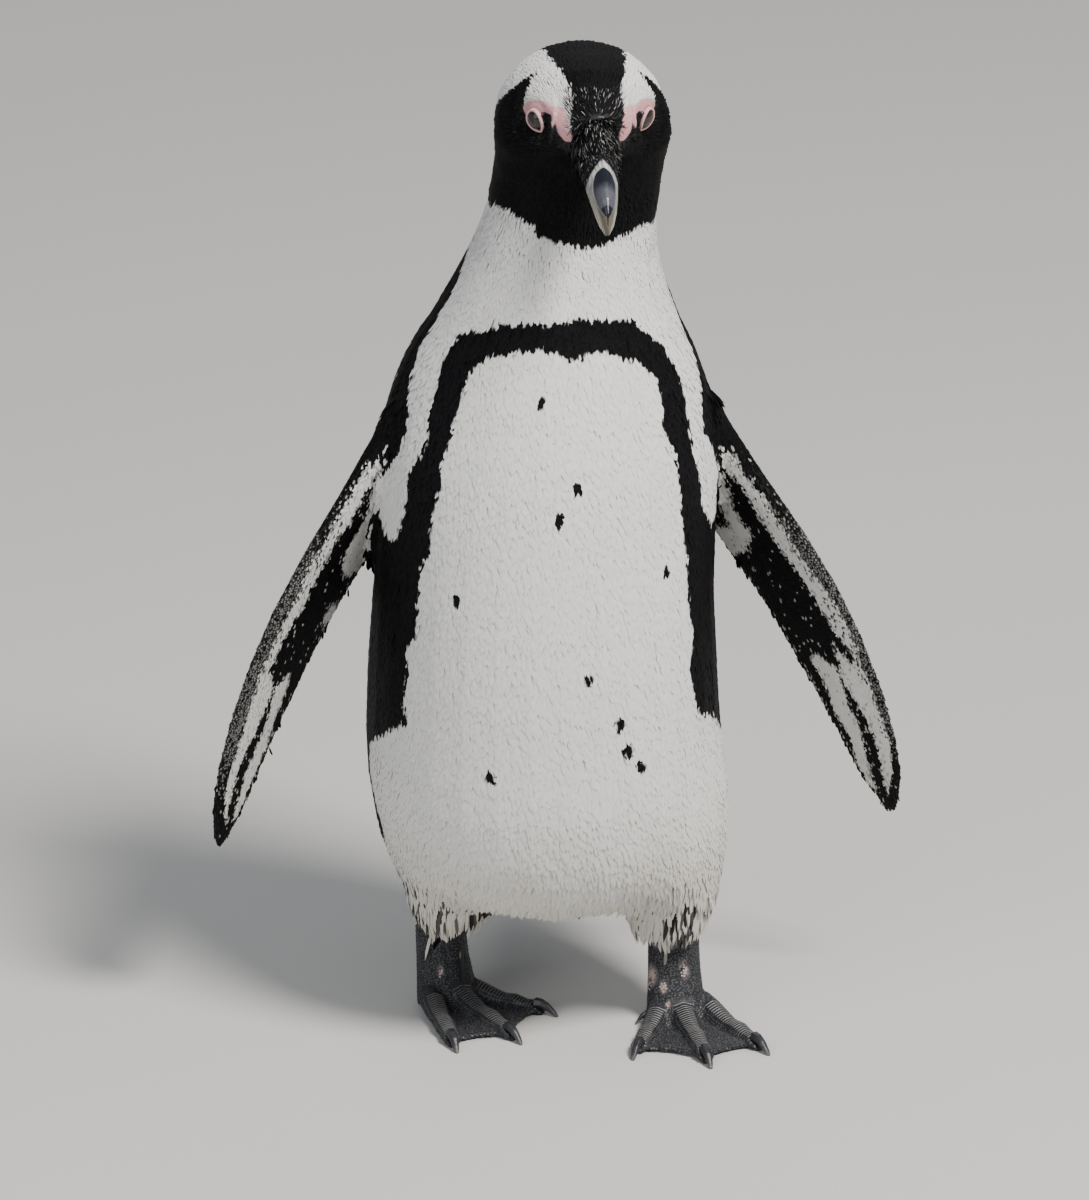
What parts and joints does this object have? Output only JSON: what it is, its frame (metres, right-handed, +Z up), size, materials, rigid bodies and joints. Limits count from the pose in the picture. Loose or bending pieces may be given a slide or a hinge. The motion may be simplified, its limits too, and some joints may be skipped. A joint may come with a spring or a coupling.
{
  "type": "african penguin",
  "caption": "Life-size African penguin walking, head bowed, flippers held away from the body, one foot ahead of the other.",
  "frame": {"origin": "middle of the bird's bounding box, on the floor it stands on", "axes": "the bird faces -Y, its own left side is +X, and +Z is up"},
  "size_m": [0.3196, 0.2236, 0.4645],
  "materials": {
    "plumage_white": "dense short feathers, soft and slightly warm white",
    "plumage_black": "dense short feathers, dull black",
    "bill": "satin horn, black with a pale grey band",
    "eye": "wet, dark brown",
    "foot": "scaly skin, black to dark grey",
    "claw": "satin dark horn"
  },
  "bodies": {
    "root": {"head": "plumage_black", "bill_upper": "bill", "bill_lower": "bill", "eye_left": "eye", "eye_right": "eye", "neck": "plumage_white", "trunk": "plumage_white", "leg_left": "plumage_white", "leg_right": "plumage_white", "flipper_left": "plumage_black", "flipper_right": "plumage_black", "tail": "plumage_black", "foot_left": "foot", "foot_right": "foot", "claw_left_inner": "claw", "claw_left_middle": "claw", "claw_left_outer": "claw", "claw_left_hind": "claw", "claw_right_inner": "claw", "claw_right_middle": "claw", "claw_right_outer": "claw", "claw_right_hind": "claw"}
  },
  "joints": []
}
